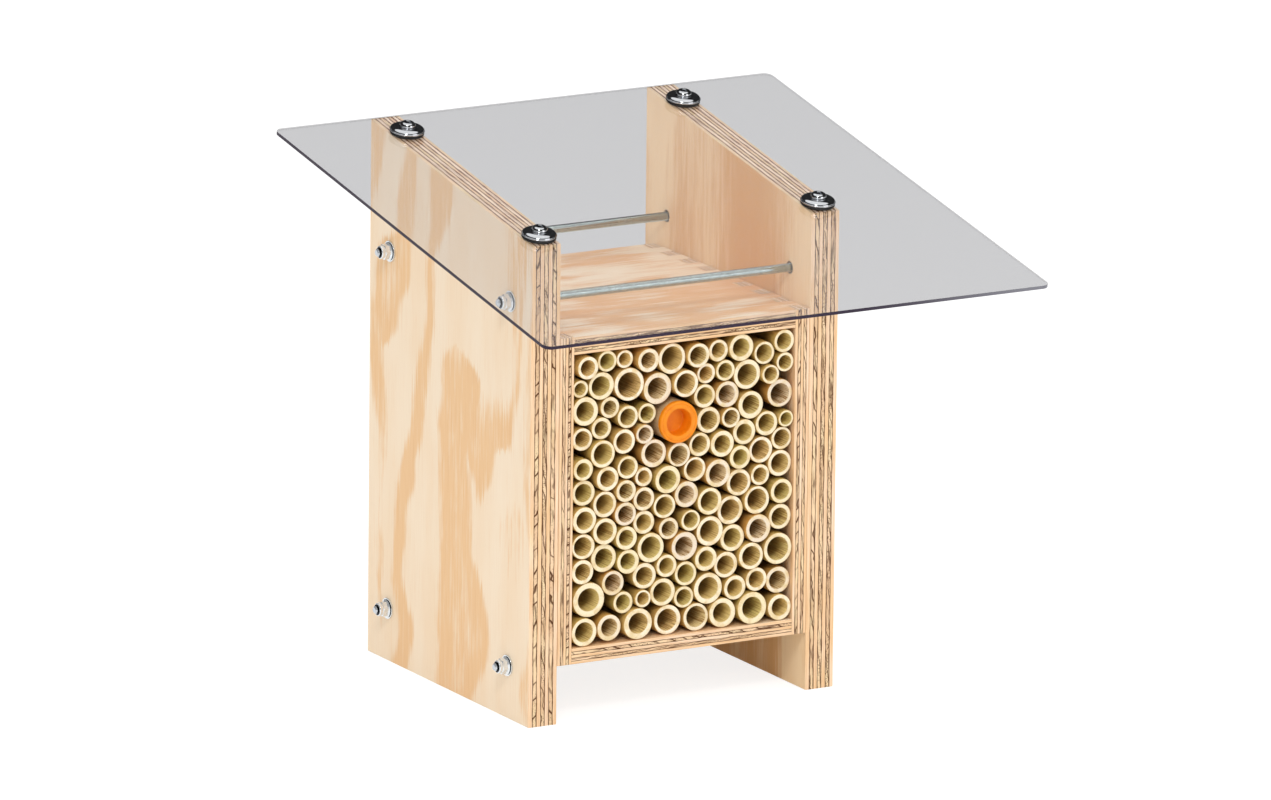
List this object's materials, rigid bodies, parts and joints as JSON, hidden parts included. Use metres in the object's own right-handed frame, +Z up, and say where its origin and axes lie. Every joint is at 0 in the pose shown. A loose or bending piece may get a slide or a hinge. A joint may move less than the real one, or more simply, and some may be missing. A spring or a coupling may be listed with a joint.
{
  "type": "bee hotel",
  "caption": "Free-standing bee hotel: plywood side boards tied by threaded rods hold a nest box of bamboo tubes under a clear sloping roof sheet.",
  "frame": {"origin": "on the ground, under the middle of the whole object's plan view, roof sheet included", "axes": "+Z up, -Y out of the front where the tubes open, +X to the right seen from the front"},
  "size_m": [0.32, 0.3152, 0.3129],
  "materials": {
    "plywood": "sanded softwood plywood with open edges",
    "bamboo": "dried bamboo cane, sawn ends",
    "clear_sheet": "clear solid sheet with polished faces",
    "zinc_steel": "bright zinc plating",
    "polished_steel": "polished stainless steel",
    "black_rubber": "matt black rubber",
    "card_tube": "wound brown card",
    "orange_plastic": "moulded orange plastic, satin"
  },
  "bodies": {
    "stand": {"left_side_board": "plywood", "right_side_board": "plywood", "roof_sheet": "clear_sheet", "roof_seals": "black_rubber", "roof_cup_washers": "polished_steel", "roof_screws": "polished_steel", "lower_front_rod": "zinc_steel", "lower_rear_rod": "zinc_steel", "upper_front_rod": "zinc_steel", "upper_rear_rod": "zinc_steel", "left_rod_washers": "zinc_steel", "right_rod_washers": "zinc_steel", "left_rod_nuts": "zinc_steel", "right_rod_nuts": "zinc_steel"},
    "nest_box": {"box_left_wall": "plywood", "box_right_wall": "plywood", "box_top": "plywood", "box_floor": "plywood", "box_back": "plywood", "tube_row_01": "bamboo", "tube_row_02": "bamboo", "tube_row_03": "bamboo", "tube_row_04": "bamboo", "tube_row_05": "bamboo", "tube_row_06": "bamboo", "tube_row_07": "bamboo", "tube_row_08": "bamboo", "tube_row_09": "bamboo", "tube_row_10": "bamboo", "tube_row_11": "bamboo", "tube_row_12": "bamboo"},
    "starter_tube": {"starter_tube": "card_tube"},
    "starter_cap": {"starter_cap": "orange_plastic"}
  },
  "joints": [
    {"name": "nest_box_slide", "type": "slide", "parent": "stand", "child": "nest_box", "axis": [0, -1, 0], "range_m": [0, 0.18]},
    {"name": "starter_tube_slide", "type": "slide", "parent": "nest_box", "child": "starter_tube", "axis": [0, -1, 0], "range_m": [0, 0.16]},
    {"name": "starter_cap_pull", "type": "slide", "parent": "starter_tube", "child": "starter_cap", "axis": [0, -1, 0], "range_m": [0, 0.03]}
  ]
}
